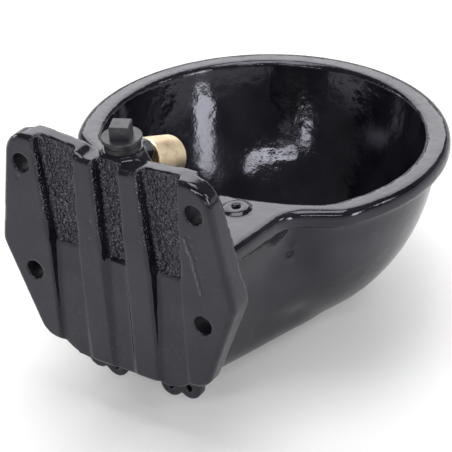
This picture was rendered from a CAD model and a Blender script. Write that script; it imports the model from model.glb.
import math
import bpy
import bmesh
import numpy as np
from mathutils import Matrix, Vector


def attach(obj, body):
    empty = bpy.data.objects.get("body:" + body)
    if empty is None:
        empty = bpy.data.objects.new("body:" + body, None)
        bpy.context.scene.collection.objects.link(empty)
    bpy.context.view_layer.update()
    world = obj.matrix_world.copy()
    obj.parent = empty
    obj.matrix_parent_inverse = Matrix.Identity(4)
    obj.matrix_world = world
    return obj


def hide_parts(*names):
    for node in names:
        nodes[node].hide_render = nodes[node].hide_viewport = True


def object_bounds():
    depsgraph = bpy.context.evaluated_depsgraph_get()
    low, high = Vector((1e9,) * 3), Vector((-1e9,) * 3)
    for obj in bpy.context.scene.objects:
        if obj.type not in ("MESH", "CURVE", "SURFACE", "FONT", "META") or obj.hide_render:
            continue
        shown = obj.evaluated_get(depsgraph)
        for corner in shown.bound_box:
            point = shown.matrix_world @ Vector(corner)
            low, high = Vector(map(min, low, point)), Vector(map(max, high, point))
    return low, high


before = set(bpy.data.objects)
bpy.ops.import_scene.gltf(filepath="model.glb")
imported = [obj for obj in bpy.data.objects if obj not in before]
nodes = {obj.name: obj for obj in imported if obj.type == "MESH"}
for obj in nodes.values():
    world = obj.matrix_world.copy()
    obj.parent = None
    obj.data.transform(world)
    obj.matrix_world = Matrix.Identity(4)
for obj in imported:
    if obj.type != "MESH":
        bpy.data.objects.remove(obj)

cad_box = [list(corner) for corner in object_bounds()]


# The casting: bowl, rim, neck, wall plate, water duct and bosses, poured in one piece of
# grey iron and dipped in glossy black enamel. The enamel rounds every edge and hangs in
# slow waves and runs, and the sand's grain shows in the grooves of the plate.
def ramp(value, low, high):
    """0 below low, 1 above high, and a soft step between them."""
    share = np.clip((value - low) / (high - low), 0, 1)
    return share * share * (3 - 2 * share)


rim_middle = Vector((0, -183.6, -9.5))     # in millimetres, as all sizes here are
fall = math.tan(math.radians(3.8))         # the rim falls away from the wall
neck_half, neck_draft, neck_deep = 71, 14, 110
neck_spread, neck_spread_loss, neck_long = 12.5, 4.5, 150
bowl_r, bowl_deep = 126.7, 142


def cheek_at(y, deep):
    """Half the neck's width at a distance from the wall and a depth under the rim."""
    low_share = np.clip(deep / neck_deep, 0, 1)
    spread = neck_spread - neck_spread_loss * low_share
    return neck_half - neck_draft * low_share + spread * -y / neck_long


def bowl_at(deep):
    """The bowl's radius at a depth under the rim: its wall is half an ellipse."""
    return bowl_r * np.sqrt(np.clip(1 - (deep / bowl_deep) ** 2, 0.02, 1))


def fairing(side):
    """Metal that fills the hollow line where a cheek runs into the bowl."""
    reach, turn = 36, math.radians(19)     # how far it goes over the cheek and the bowl
    edge_inset, root_inset = 1.8, 9        # how deep its edges and its root lie in the iron
    shape = bmesh.new()
    last = None
    for deep in (35, 41, 47, 54, 63, 72, 80, 88, 96, 103):
        y = -40.0
        while math.hypot(cheek_at(y, deep), y - rim_middle.y) > bowl_at(deep):
            y -= 0.25
        spread = float(ramp(deep, 2, 82) * (1 - ramp(deep, 80, 108))) + 0.02
        angle = math.atan2(y - rim_middle.y, cheek_at(y, deep)) - turn * spread
        near = (cheek_at(y + reach * spread, deep) - edge_inset, y + reach * spread)
        root = (cheek_at(y, deep) - root_inset, y - root_inset)
        far = (math.cos(angle) * (bowl_at(deep) - edge_inset),
               rim_middle.y + math.sin(angle) * (bowl_at(deep) - edge_inset))
        row = [shape.verts.new((side * px / 1000, py / 1000,
                                (rim_middle.z + (py - rim_middle.y) * fall - deep) / 1000))
               for px, py in (near, far, root)]
        if last:
            for k in range(3):
                shape.faces.new((last[k], last[k - 1], row[k - 1], row[k]))
        else:
            shape.faces.new(row)
        last = row
    shape.faces.new(last)
    bmesh.ops.recalc_face_normals(shape, faces=shape.faces)
    mesh = bpy.data.meshes.new("fairing")
    shape.to_mesh(mesh)
    shape.free()
    return mesh


def poured_skin(node, additions, grain, rounds, name):
    """A copy of a solid, with what is added, drawn round by a thick coat."""
    mesh = nodes[node].data.copy()
    whole = bmesh.new()
    whole.from_mesh(mesh)
    for added in additions:
        whole.from_mesh(added)
    whole.to_mesh(mesh)
    whole.free()
    skin = bpy.data.objects.new(name, mesh)
    bpy.context.scene.collection.objects.link(skin)
    weld = skin.modifiers.new("weld", "WELD")
    weld.merge_threshold = 0.00001
    coat = skin.modifiers.new("coat", "REMESH")
    coat.mode = "VOXEL"
    coat.voxel_size = grain
    ease = skin.modifiers.new("ease", "SMOOTH")
    ease.factor = 0.5
    ease.iterations = rounds
    return skin


def settle(skin):
    """Makes the modifiers real and lays the faces smooth."""
    graph = bpy.context.evaluated_depsgraph_get()
    made = bpy.data.meshes.new_from_object(skin.evaluated_get(graph))
    skin.modifiers.clear()
    skin.vertex_groups.clear()
    skin.data = made
    made.polygons.foreach_set("use_smooth", [True] * len(made.polygons))
    return made


def points_and_normals(mesh):
    """Each point's place in millimetres, and the way the surface faces there."""
    spots = np.zeros(len(mesh.vertices) * 3)
    mesh.vertices.foreach_get("co", spots)
    facing = np.zeros(len(mesh.vertices) * 3)
    mesh.vertex_normals.foreach_get("vector", facing)
    return spots.reshape(-1, 3) * 1000, facing.reshape(-1, 3)


def from_rim(spots):
    """How far each point lies above the rim's plane, and how far from the bowl's middle."""
    return (spots[:, 2] - (rim_middle.z + (spots[:, 1] - rim_middle.y) * fall),
            np.hypot(spots[:, 0], spots[:, 1] - rim_middle.y))


def ease_where(skin, name, weights, rounds):
    """Smooths a skin for some rounds, as far as the weight of each point lets it."""
    held = skin.vertex_groups.new(name=name)
    for index in np.nonzero(weights > 0.01)[0]:
        held.add([int(index)], float(weights[index]), "REPLACE")
    ease = skin.modifiers.new(name, "SMOOTH")
    ease.factor = 0.5
    ease.iterations = rounds
    ease.vertex_group = name


casting = poured_skin("bowl_casting", [fairing(-1), fairing(1)],
                      grain=0.0013, rounds=4, name="casting_skin")
mesh = settle(casting)
spot, facing = points_and_normals(mesh)
across = np.abs(spot[:, 0])
outward = facing[:, 0] * np.sign(spot[:, 0])
above_rim, from_middle = from_rim(spot)

# the rim bead's edge is rounded by the enamel
bead_middle, bead_half = -6, 8
bead = ramp(-np.abs(above_rim - bead_middle), -bead_half, -6) * (facing[:, 2] < 0.995)
bead *= np.maximum(from_middle > 126,
                   (across > 58) & (spot[:, 1] < -28) & (from_middle > 119))
ease_where(casting, "edge", bead, rounds=14)

# where the cheeks run into the bowl the pattern is filleted by hand
to_seam = (np.abs(across - cheek_at(spot[:, 1], -above_rim))
           + np.abs(from_middle - bowl_at(above_rim)))
seam = ramp(-to_seam, -60, -20) * ramp(-above_rim, 12.2, 14.5) * (outward > -0.5)
seam[spot[:, 1] > -30] = 0
ease_where(casting, "fillet", seam, rounds=260)
mesh = settle(casting)
spot, facing = points_and_normals(mesh)
across = np.abs(spot[:, 0])

# the sand's grain: the groove floors above the mould's parting line
parting_z, plate_top_z = -17.5, 65.5
up_share = np.clip((spot[:, 2] - parting_z) / (plate_top_z - parting_z), 0, 1)
side_in = 30 - 4.5 * up_share              # the side grooves widen towards the top
side_out = 53.7 + 4.8 * up_share
in_side = ramp(across, side_in - 4, side_in - 2) * ramp(-across, -side_out - 4, -side_out - 2)
in_middle = ramp(-across, -14, -12)
floor_y = ramp(-spot[:, 1], 0.6, 2.0) * (spot[:, 1] > -13) * ramp(facing[:, 1], 0.55, 0.85)
floor_y *= ramp(-facing[:, 2], -0.5, -0.3)
above_parting = ramp(spot[:, 2], parting_z - 1.5, parting_z + 1.5)
sand = np.maximum(in_side, in_middle) * floor_y * above_parting

# a run of enamel down the outer face of one ear, and the pits and chips beside it
run_line = ((-61.5, 22.5), (-63.5, 15.5), (-66.5, 8.0), (-67.0, 2.0), (-69.5, -8.0),
            (-71.0, -17.0))
run_half = 1.1
wall_side = spot[:, 1] > -2
run = np.zeros(len(spot))
for (x0, z0), (x1, z1) in zip(run_line, run_line[1:]):
    step = np.array((x1 - x0, z1 - z0))
    away = spot[:, (0, 2)] - np.array((x0, z0))
    share = np.clip(away @ step / (step @ step), 0, 1)
    gap = np.hypot(*(away - share[:, None] * step).T)
    run = np.maximum(run, np.exp(-(gap / run_half) ** 2))
run *= wall_side
pit = np.zeros(len(spot))
for x, z, r in ((-64.5, 24.5, 1.4), (-61.0, 20.0, 1.1), (-66.0, 18.0, 1.3), (-69.0, 10.0, 1.2),
                (-62.0, 12.0, 1.0), (74.5, 31.0, 1.6), (-71.5, -4.0, 1.0), (16.0, 12.0, 1.3),
                (18.5, -2.0, 1.2), (-24.0, 8.0, 1.0)):
    pit = np.maximum(pit, np.exp(-(np.hypot(spot[:, 0] - x, spot[:, 2] - z) / r) ** 2))
pit *= wall_side

# the hollow of the bowl, where the enamel gathers thicker towards the bottom
above_rim, from_middle = from_rim(spot)
inward = -(facing[:, 0] * spot[:, 0] + facing[:, 1] * (spot[:, 1] - rim_middle.y))
hollow = ramp(-from_middle, -119.5, -117.5) * ramp(-above_rim, 0.4, 2.5)
hollow *= np.maximum(ramp(inward / np.maximum(from_middle, 1), 0.0, 0.2),
                     ramp(facing[:, 2], 0.0, 0.2))

# the drilled bolt holes, whose walls hold only a thin, dull coat
bolt_x, bolt_z = 70, 43
bore = np.zeros(len(spot))
for x in (-bolt_x, bolt_x):
    for z in (-bolt_z, bolt_z):
        bore = np.maximum(bore, ramp(-np.hypot(spot[:, 0] - x, spot[:, 2] - z), -8.2, -7.4))
bore *= ramp(-spot[:, 1], 0.4, 1.4) * (spot[:, 1] > -24)

# where the coat is chipped along one lip of each groove, and where the wall side is dusty
middle_half = 9.8
lip = np.zeros(len(spot))
for edge_x in (side_out, middle_half, -side_in):
    lip = np.maximum(lip, ramp(-np.abs(spot[:, 0] - edge_x), -1.5, -0.5))
lip *= (spot[:, 1] > -4) * ramp(spot[:, 2], -8, 12) * ramp(-spot[:, 2], -64, -58)
wall = ramp(spot[:, 1], -26, -16)

for name, value in (("sand", sand), ("run", run), ("pit", pit), ("hollow", hollow),
                    ("bore", bore), ("lip", lip), ("wall", wall)):
    layer = mesh.attributes.new(name, "FLOAT", "POINT")
    layer.data.foreach_set("value", value.astype(np.float32))


def new_group(name, inputs, output):
    """An empty node group with number inputs and one output."""
    group = bpy.data.node_groups.new(name, "ShaderNodeTree")
    for label in inputs:
        group.interface.new_socket(label, in_out="INPUT", socket_type="NodeSocketFloat")
    group.interface.new_socket(output, in_out="OUTPUT", socket_type="NodeSocketFloat")
    return group, group.nodes.new("NodeGroupInput"), group.nodes.new("NodeGroupOutput")


def between():
    """Noise in object space, stretched to run from Low to High."""
    group, start, end = new_group("between", ("Scale", "Low", "High"), "Value")
    place = group.nodes.new("ShaderNodeTexCoord")
    noise = group.nodes.new("ShaderNodeTexNoise")
    noise.inputs["Detail"].default_value = 4
    spread = group.nodes.new("ShaderNodeMapRange")
    spread.inputs["From Min"].default_value = 0.32
    spread.inputs["From Max"].default_value = 0.68
    link = group.links.new
    link(place.outputs["Object"], noise.inputs["Vector"])
    link(start.outputs["Scale"], noise.inputs["Scale"])
    link(noise.outputs["Fac"], spread.inputs["Value"])
    link(start.outputs["Low"], spread.inputs["To Min"])
    link(start.outputs["High"], spread.inputs["To Max"])
    link(spread.outputs["Result"], end.inputs["Value"])
    return group


def waves():
    """A bumpy surface: the height of soft noise, in millimetres from trough to crest."""
    group, start, end = new_group("waves", ("Scale", "Height"), "Height")
    place = group.nodes.new("ShaderNodeTexCoord")
    noise = group.nodes.new("ShaderNodeTexNoise")
    noise.inputs["Detail"].default_value = 1.5
    size = group.nodes.new("ShaderNodeMath")
    size.operation = "MULTIPLY"
    link = group.links.new
    link(place.outputs["Object"], noise.inputs["Vector"])
    link(start.outputs["Scale"], noise.inputs["Scale"])
    link(noise.outputs["Fac"], size.inputs[0])
    link(start.outputs["Height"], size.inputs[1])
    link(size.outputs["Value"], end.inputs["Height"])
    return group


def specks():
    """A mask of scattered patches; Cover is how far they spread, 0 to 1."""
    group, start, end = new_group("specks", ("Scale", "Cover"), "Mask")
    place = group.nodes.new("ShaderNodeTexCoord")
    noise = group.nodes.new("ShaderNodeTexNoise")
    noise.inputs["Detail"].default_value = 6
    noise.inputs["Roughness"].default_value = 0.65
    lift = group.nodes.new("ShaderNodeMath")
    lift.operation = "ADD"
    cut = group.nodes.new("ShaderNodeMapRange")
    cut.inputs["From Min"].default_value = 0.98
    cut.inputs["From Max"].default_value = 1.06
    link = group.links.new
    link(place.outputs["Object"], noise.inputs["Vector"])
    link(start.outputs["Scale"], noise.inputs["Scale"])
    link(noise.outputs["Fac"], lift.inputs[0])
    link(start.outputs["Cover"], lift.inputs[1])
    link(lift.outputs["Value"], cut.inputs["Value"])
    link(cut.outputs["Result"], end.inputs["Mask"])
    return group


def pebbles():
    """Round grains side by side: Height is how far each stands up, in millimetres."""
    group, start, end = new_group("pebbles", ("Scale", "Height"), "Height")
    place = group.nodes.new("ShaderNodeTexCoord")
    cells = group.nodes.new("ShaderNodeTexVoronoi")
    cells.feature = "SMOOTH_F1"
    cells.inputs["Smoothness"].default_value = 0.35
    size = group.nodes.new("ShaderNodeMath")
    size.operation = "MULTIPLY"
    flip = group.nodes.new("ShaderNodeMath")
    flip.operation = "MULTIPLY"
    flip.inputs[1].default_value = -1
    link = group.links.new
    link(place.outputs["Object"], cells.inputs["Vector"])
    link(start.outputs["Scale"], cells.inputs["Scale"])
    link(cells.outputs["Distance"], size.inputs[0])
    link(start.outputs["Height"], size.inputs[1])
    link(size.outputs["Value"], flip.inputs[0])
    link(flip.outputs["Value"], end.inputs["Height"])
    return group


between_group, waves_group = between(), waves()
specks_group, pebbles_group = specks(), pebbles()


class Finish:
    """A material under way: its nodes, its shader and short ways to add to it."""

    def __init__(self, name, colour, roughness, metallic, index=1.5):
        self.material = bpy.data.materials.new(name)
        self.material.use_nodes = True
        self.tree = self.material.node_tree
        self.shader = self.tree.nodes["Principled BSDF"]
        self.shader.inputs["Base Color"].default_value = (*colour, 1)
        self.shader.inputs["Roughness"].default_value = roughness
        self.shader.inputs["Metallic"].default_value = metallic
        self.shader.inputs["IOR"].default_value = index
        self.material.diffuse_color = (*colour, 1)

    def group(self, tree, **values):
        node = self.tree.nodes.new("ShaderNodeGroup")
        node.node_tree = tree
        for label, value in values.items():
            node.inputs[label].default_value = value
        return node.outputs[0]

    def layer(self, name):
        node = self.tree.nodes.new("ShaderNodeAttribute")
        node.attribute_name = name
        return node.outputs["Fac"]

    def math(self, kind, first, second):
        node = self.tree.nodes.new("ShaderNodeMath")
        node.operation = kind
        for socket, value in zip(node.inputs, (first, second)):
            if isinstance(value, (int, float)):
                socket.default_value = value
            else:
                self.tree.links.new(value, socket)
        return node.outputs["Value"]

    def near(self, point, radius):
        """A soft mask round one point of the object."""
        place = self.tree.nodes.new("ShaderNodeTexCoord")
        gap = self.tree.nodes.new("ShaderNodeVectorMath")
        gap.operation = "DISTANCE"
        gap.inputs[1].default_value = point
        fade = self.tree.nodes.new("ShaderNodeMapRange")
        fade.inputs["From Min"].default_value = radius
        fade.inputs["From Max"].default_value = radius * 0.3
        self.tree.links.new(place.outputs["Object"], gap.inputs[0])
        self.tree.links.new(gap.outputs["Value"], fade.inputs["Value"])
        return fade.outputs["Result"]

    def depth(self, point, slope):
        """How far below a slanting plane the surface lies, in millimetres."""
        place = self.tree.nodes.new("ShaderNodeTexCoord")
        dot = self.tree.nodes.new("ShaderNodeVectorMath")
        dot.operation = "DOT_PRODUCT"
        dot.inputs[1].default_value = (0, slope * 1000, -1000)
        self.tree.links.new(place.outputs["Object"], dot.inputs[0])
        return self.math("ADD", dot.outputs["Value"], point[2] - point[1] * slope)

    def colours(self, mask, first, second):
        """Two colours mixed by a mask; either may be an earlier mix."""
        node = self.tree.nodes.new("ShaderNodeMix")
        node.data_type = "RGBA"
        self.tree.links.new(mask, node.inputs["Factor"])
        for socket, value in ((node.inputs[6], first), (node.inputs[7], second)):
            if isinstance(value, tuple):
                socket.default_value = (*value, 1)
            else:
                self.tree.links.new(value, socket)
        return node.outputs[2]

    def rough(self, value):
        self.tree.links.new(value, self.shader.inputs["Roughness"])

    def colour(self, value):
        self.tree.links.new(value, self.shader.inputs["Base Color"])

    def bump(self, *heights):
        """Heights in millimetres, added up and laid on the surface."""
        total = heights[0]
        for height in heights[1:]:
            total = self.math("ADD", total, height)
        node = self.tree.nodes.new("ShaderNodeBump")
        node.inputs["Distance"].default_value = 0.001
        self.tree.links.new(total, node.inputs["Height"])
        self.tree.links.new(node.outputs["Normal"], self.shader.inputs["Normal"])


def lay_on(piece, finish):
    """Gives a piece one material and takes away any other."""
    piece.data.materials.clear()
    piece.data.materials.append(finish.material)


enamel = Finish("black_enamel", (0.005, 0.005, 0.007), roughness=0.08, metallic=0,
                index=1.54)
enamel.shader.inputs["Specular Tint"].default_value = (0.86, 0.86, 1.0, 1)
sand_mask = enamel.layer("sand")
gloss = enamel.group(between_group, Scale=28, Low=0.05, High=0.15)
dull = enamel.group(specks_group, Scale=70, Cover=0.42)
gloss = enamel.math("ADD", gloss, enamel.math("MULTIPLY", dull, 0.10))
enamel.rough(enamel.math("ADD", gloss, enamel.math("MULTIPLY", enamel.layer("bore"), 0.5)))
thin_black, thick_black = (0.002, 0.002, 0.004), (0.013, 0.013, 0.017)
sand_grey, dust_grey, iron_grey = (0.016, 0.016, 0.019), (0.045, 0.045, 0.052), (0.26, 0.26, 0.28)
cloud = enamel.group(between_group, Scale=34, Low=0.0, High=1.0)
body = enamel.colours(cloud, thin_black, thick_black)
body = enamel.colours(enamel.math("MULTIPLY", sand_mask, 0.7), body, sand_grey)
dusty = enamel.math("ADD", enamel.math("MULTIPLY", enamel.layer("wall"), 0.8), 0.12)
dust = enamel.math("MULTIPLY", enamel.group(specks_group, Scale=380, Cover=0.37), dusty)
body = enamel.colours(dust, body, dust_grey)
chipped = enamel.math("MAXIMUM", enamel.math("MULTIPLY", sand_mask, 0.8), enamel.layer("lip"))
chips = enamel.math("MULTIPLY", enamel.group(specks_group, Scale=800, Cover=0.42), chipped)
enamel.colour(enamel.colours(chips, body, iron_grey))
most_deep, first_slope = 90, 0.27          # the coat's slope falls off on the way down
deep = enamel.math("MINIMUM",
                   enamel.math("MAXIMUM", enamel.depth(rim_middle, fall), 0), most_deep)
gather = enamel.math("MULTIPLY", enamel.math("MULTIPLY", deep, first_slope), enamel.math(
    "SUBTRACT", 1, enamel.math("MULTIPLY", deep, 1 / (2 * most_deep))))
gather = enamel.math("MULTIPLY", gather, enamel.layer("hollow"))
grain = enamel.math("MULTIPLY", enamel.group(waves_group, Scale=700, Height=0.6), sand_mask)
coarse = enamel.math("MULTIPLY", enamel.group(pebbles_group, Scale=430, Height=1.3), sand_mask)
enamel.bump(gather, enamel.group(waves_group, Scale=42, Height=0.55),
            enamel.group(waves_group, Scale=130, Height=0.13),
            enamel.group(waves_group, Scale=300, Height=0.06),
            enamel.group(waves_group, Scale=620, Height=0.03),
            grain, coarse,
            enamel.math("MULTIPLY", enamel.layer("run"), 0.6),
            enamel.math("MULTIPLY", enamel.layer("pit"), -0.5))
lay_on(casting, enamel)
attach(casting, "fixed")
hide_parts("bowl_casting")


# The supply thread is tapped into the foot of the duct, fourteen turns to the inch. Its
# crests are bare of enamel, so they show the grey of cut iron.
def thread(name, foot, axis, root, crest, pitch, length):
    """A screw thread's ridge, wound round an axis from its foot."""
    axis = Vector(axis).normalized()
    side = axis.orthogonal().normalized()
    cross = axis.cross(side)
    per_turn, run_out = 40, 30             # steps in a turn, and in the thread's fading ends
    shape = bmesh.new()
    steps = int(length / pitch * per_turn)
    last = None
    for step in range(steps + 1):
        turn = step / per_turn * 2 * math.pi
        along = step / steps * (length - pitch)
        fade = min(1, step / run_out, (steps - step) / run_out)
        way = side * math.cos(turn) + cross * math.sin(turn)
        top = root + (crest - root) * fade
        row = [shape.verts.new((Vector(foot) + axis * (along + up * pitch) + way * out) / 1000)
               for up, out in ((0.06, root), (0.42, top), (0.58, top), (0.94, root))]
        if last:
            for k in range(3):
                shape.faces.new((last[k], last[k + 1], row[k + 1], row[k]))
        last = row
    bmesh.ops.recalc_face_normals(shape, faces=shape.faces)
    mesh = bpy.data.meshes.new(name)
    shape.to_mesh(mesh)
    shape.free()
    piece = bpy.data.objects.new(name, mesh)
    bpy.context.scene.collection.objects.link(piece)
    return piece


inlet = thread("inlet_thread", foot=(0, -23, -111.4), axis=(0, 0, 1), root=9.5, crest=8.75,
               pitch=25.4 / 14, length=14.6)
cut_iron = Finish("cut_iron", (0.22, 0.21, 0.20), roughness=0.4, metallic=0.9)
cut_iron.rough(cut_iron.group(between_group, Scale=300, Low=0.3, High=0.55))
rust = cut_iron.group(specks_group, Scale=260, Cover=0.5)
cut_iron.colour(cut_iron.colours(rust, (0.22, 0.21, 0.20), (0.10, 0.05, 0.028)))
cut_iron.bump(cut_iron.group(waves_group, Scale=1500, Height=0.02))
lay_on(inlet, cut_iron)
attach(inlet, "fixed")


# The plug closes the duct's upper end. It is injection-moulded in black plastic with a
# square head for a spanner, and is turned down onto a thick black rubber gasket.
rubber = Finish("black_rubber", (0.016, 0.016, 0.017), roughness=0.55, metallic=0)
bloom = rubber.group(between_group, Scale=160, Low=0.0, High=1.0)
rubber.colour(rubber.colours(bloom, (0.012, 0.012, 0.013), (0.026, 0.026, 0.028)))
rubber.rough(rubber.group(between_group, Scale=240, Low=0.42, High=0.62))
rubber.bump(rubber.group(waves_group, Scale=900, Height=0.05))
for node in ("top_plug_gasket", "valve_body_gasket", "seal_disc"):
    lay_on(nodes[node], rubber)

plastic = Finish("moulded_plastic", (0.026, 0.026, 0.029), roughness=0.4, metallic=0)
scuff = plastic.group(specks_group, Scale=190, Cover=0.44)
plastic.colour(plastic.colours(scuff, (0.022, 0.022, 0.028), (0.05, 0.05, 0.058)))
plastic.rough(plastic.group(between_group, Scale=130, Low=0.32, High=0.48))
plastic.bump(plastic.group(waves_group, Scale=1300, Height=0.035),
             plastic.group(waves_group, Scale=140, Height=0.12))
lay_on(nodes["top_plug"], plastic)


# The valve body is screwed into the neck of the casting: brass bar, turned, with a
# hexagon for the spanner. Behind its seat stands the spring with its cup and retainer.
brass = Finish("turned_brass", (0.70, 0.56, 0.34), roughness=0.3, metallic=1)
tarnish = brass.group(between_group, Scale=55, Low=0.0, High=1.0)
stain = brass.math("MULTIPLY", brass.group(specks_group, Scale=150, Cover=0.5), 0.5)
sheen = brass.colours(tarnish, (0.74, 0.60, 0.38), (0.66, 0.51, 0.29))
brass.colour(brass.colours(stain, sheen, (0.40, 0.27, 0.13)))
brass.rough(brass.group(between_group, Scale=90, Low=0.22, High=0.38))
brass.bump(brass.group(waves_group, Scale=700, Height=0.02),
           brass.group(waves_group, Scale=120, Height=0.08))
for node in ("valve_body", "spring_cup"):
    lay_on(nodes[node], brass)

steel = Finish("stainless_steel", (0.56, 0.56, 0.57), roughness=0.28, metallic=1)
steel.rough(steel.group(between_group, Scale=260, Low=0.2, High=0.4))
haze = steel.group(between_group, Scale=120, Low=0.0, High=1.0)
steel.colour(steel.colours(haze, (0.60, 0.60, 0.61), (0.48, 0.48, 0.50)))
steel.bump(steel.group(waves_group, Scale=1400, Height=0.012))
for node in ("spring_retainer", "return_spring", "valve_stem", "lock_washer", "lock_nut"):
    lay_on(nodes[node], steel)


# The drinking tube is what the animal pushes: cut from brass tube and held on the stem by
# a cast brass spider, with a stainless washer and nut. The stem's end is threaded.
tube_brass = Finish("tube_brass", (0.84, 0.70, 0.48), roughness=0.42, metallic=1)
tarnish = tube_brass.group(between_group, Scale=40, Low=0.0, High=1.0)
sheen = tube_brass.colours(tarnish, (0.88, 0.74, 0.53), (0.80, 0.64, 0.42))
smudge = tube_brass.math("MULTIPLY", tube_brass.near((-0.010, -0.062, 0.052), 0.011),
                         tube_brass.group(between_group, Scale=300, Low=0.2, High=0.9))
fleck = tube_brass.math("MULTIPLY", tube_brass.group(specks_group, Scale=170, Cover=0.44), 0.22)
stain = tube_brass.math("MAXIMUM", smudge, fleck)
tube_brass.colour(tube_brass.colours(stain, sheen, (0.42, 0.27, 0.14)))
tube_brass.rough(tube_brass.math("ADD", tube_brass.math("MULTIPLY", stain, 0.15),
                                 tube_brass.group(between_group, Scale=90, Low=0.34, High=0.5)))
tube_brass.bump(tube_brass.group(waves_group, Scale=600, Height=0.02),
                tube_brass.group(waves_group, Scale=90, Height=0.12))
lay_on(nodes["drinking_tube"], tube_brass)
lay_on(nodes["tube_spider"], brass)

dip = math.radians(24.2)
valve_axis = Vector((0, -math.cos(dip), -math.sin(dip)))
valve_root = Vector((0, -23, 51))          # where the valve's axis meets the duct's
stem_thread = thread("stem_thread", foot=valve_root + valve_axis * 47.3, axis=valve_axis,
                     root=2.1, crest=2.32, pitch=0.8, length=1.9)
lay_on(stem_thread, steel)
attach(stem_thread, "tube")


# The room: a pale floor in a surround that is white at the horizon and grey overhead.
# The enamel is a mirror, so soft boxes stand where it shows them: one broad one lights
# the rim's top, and small ones lie as bright patches in the bowl.
def soft_box(name, azimuth, height, away, wide, tall, glow, lean=0):
    """A rectangular lamp; azimuth 0 lies along -Y, and 90 along +X. It may lean over."""
    aim = Vector((0, -0.15, -0.02))
    turn, up = math.radians(azimuth), math.radians(height)
    way = Vector((math.sin(turn) * math.cos(up), -math.cos(turn) * math.cos(up), math.sin(up)))
    data = bpy.data.lights.new(name, "AREA")
    data.shape = "RECTANGLE"
    data.size = wide
    data.size_y = tall
    data.energy = glow * math.pi * wide * tall
    lamp = bpy.data.objects.new(name, data)
    lamp.location = aim + way * away
    turned = Matrix.Rotation(math.radians(lean), 3, way) @ way.to_track_quat("Z", "Y").to_matrix()
    lamp.rotation_euler = turned.to_euler()
    bpy.context.scene.collection.objects.link(lamp)


soft_box("box_behind", azimuth=36, height=34, away=2.4, wide=2.4, tall=1.5, glow=2.9)
soft_box("box_tall", azimuth=264.5, height=22, away=1.7, wide=0.38, tall=0.72, glow=9.0,
         lean=-28)
soft_box("box_over_camera", azimuth=209, height=40, away=2.0, wide=1.3, tall=0.13,
         glow=11.0, lean=9)
soft_box("box_small", azimuth=179, height=27, away=1.7, wide=0.26, tall=0.28, glow=10.0)
soft_box("box_far_side", azimuth=297, height=34, away=1.7, wide=0.26, tall=0.42, glow=7.0)
soft_box("box_left", azimuth=98, height=14, away=1.7, wide=0.25, tall=0.30, glow=8.0)
soft_box("box_top", azimuth=30, height=84, away=2.0, wide=1.2, tall=1.2, glow=4.5)

mesh = bpy.data.meshes.new("floor")
build = bmesh.new()
bmesh.ops.create_grid(build, x_segments=1, y_segments=1, size=6)
build.to_mesh(mesh)
build.free()
floor = bpy.data.objects.new("floor", mesh)
floor_gap = 0.0005
floor.location = (0, 0, cad_box[0][2] - floor_gap)
bpy.context.scene.collection.objects.link(floor)
paper = Finish("pale_floor", (0.94, 0.94, 0.94), roughness=0.7, metallic=0)
camera_ray = paper.tree.nodes.new("ShaderNodeLightPath").outputs["Is Camera Ray"]
below = paper.tree.nodes.new("ShaderNodeNewGeometry").outputs["Backfacing"]
near_lift = 0.14                           # lifts the floor to white, and keeps the shadow
far_off = paper.math("SUBTRACT", 1, paper.near((0, -0.1, 0), 1.5))
lift = paper.math("MULTIPLY", camera_ray, paper.math("ADD", near_lift, far_off))
paper.shader.inputs["Emission Color"].default_value = (1, 1, 1, 1)
paper.tree.links.new(lift, paper.shader.inputs["Emission Strength"])
paper.tree.links.new(paper.math("SUBTRACT", 1, below), paper.shader.inputs["Alpha"])
lay_on(floor, paper)

world = bpy.data.worlds.new("room")
bpy.context.scene.world = world
world.use_nodes = True
tree = world.node_tree
sky = tree.nodes["Background"]
place = tree.nodes.new("ShaderNodeTexCoord")
split = tree.nodes.new("ShaderNodeSeparateXYZ")
fade = tree.nodes.new("ShaderNodeMapRange")
fade.interpolation_type = "SMOOTHSTEP"
fade.inputs["From Min"].default_value = math.sin(math.radians(7))
fade.inputs["From Max"].default_value = math.sin(math.radians(16))
fade.inputs["To Min"].default_value = 1.0
fade.inputs["To Max"].default_value = 0.17
tree.links.new(place.outputs["Generated"], split.inputs["Vector"])
tree.links.new(split.outputs["Z"], fade.inputs["Value"])
tree.links.new(fade.outputs["Result"], sky.inputs["Color"])
sky.inputs["Strength"].default_value = 1.0

scene = bpy.context.scene
scene.view_settings.view_transform = "Standard"
eye = Vector((-0.7951, 0.9526, 0.8006))
ahead = Vector((0.4984, -0.6786, -0.5396)).normalized()
right = Vector((-0.8285, -0.5561, -0.0660)).normalized()
up = right.cross(ahead)
data = bpy.data.cameras.new("camera")
data.sensor_width = 36
data.lens = 177.46
camera = bpy.data.objects.new("camera", data)
camera.matrix_world = Matrix((
    (right.x, up.x, -ahead.x, eye.x), (right.y, up.y, -ahead.y, eye.y),
    (right.z, up.z, -ahead.z, eye.z), (0, 0, 0, 1)))
scene.collection.objects.link(camera)
scene.camera = camera
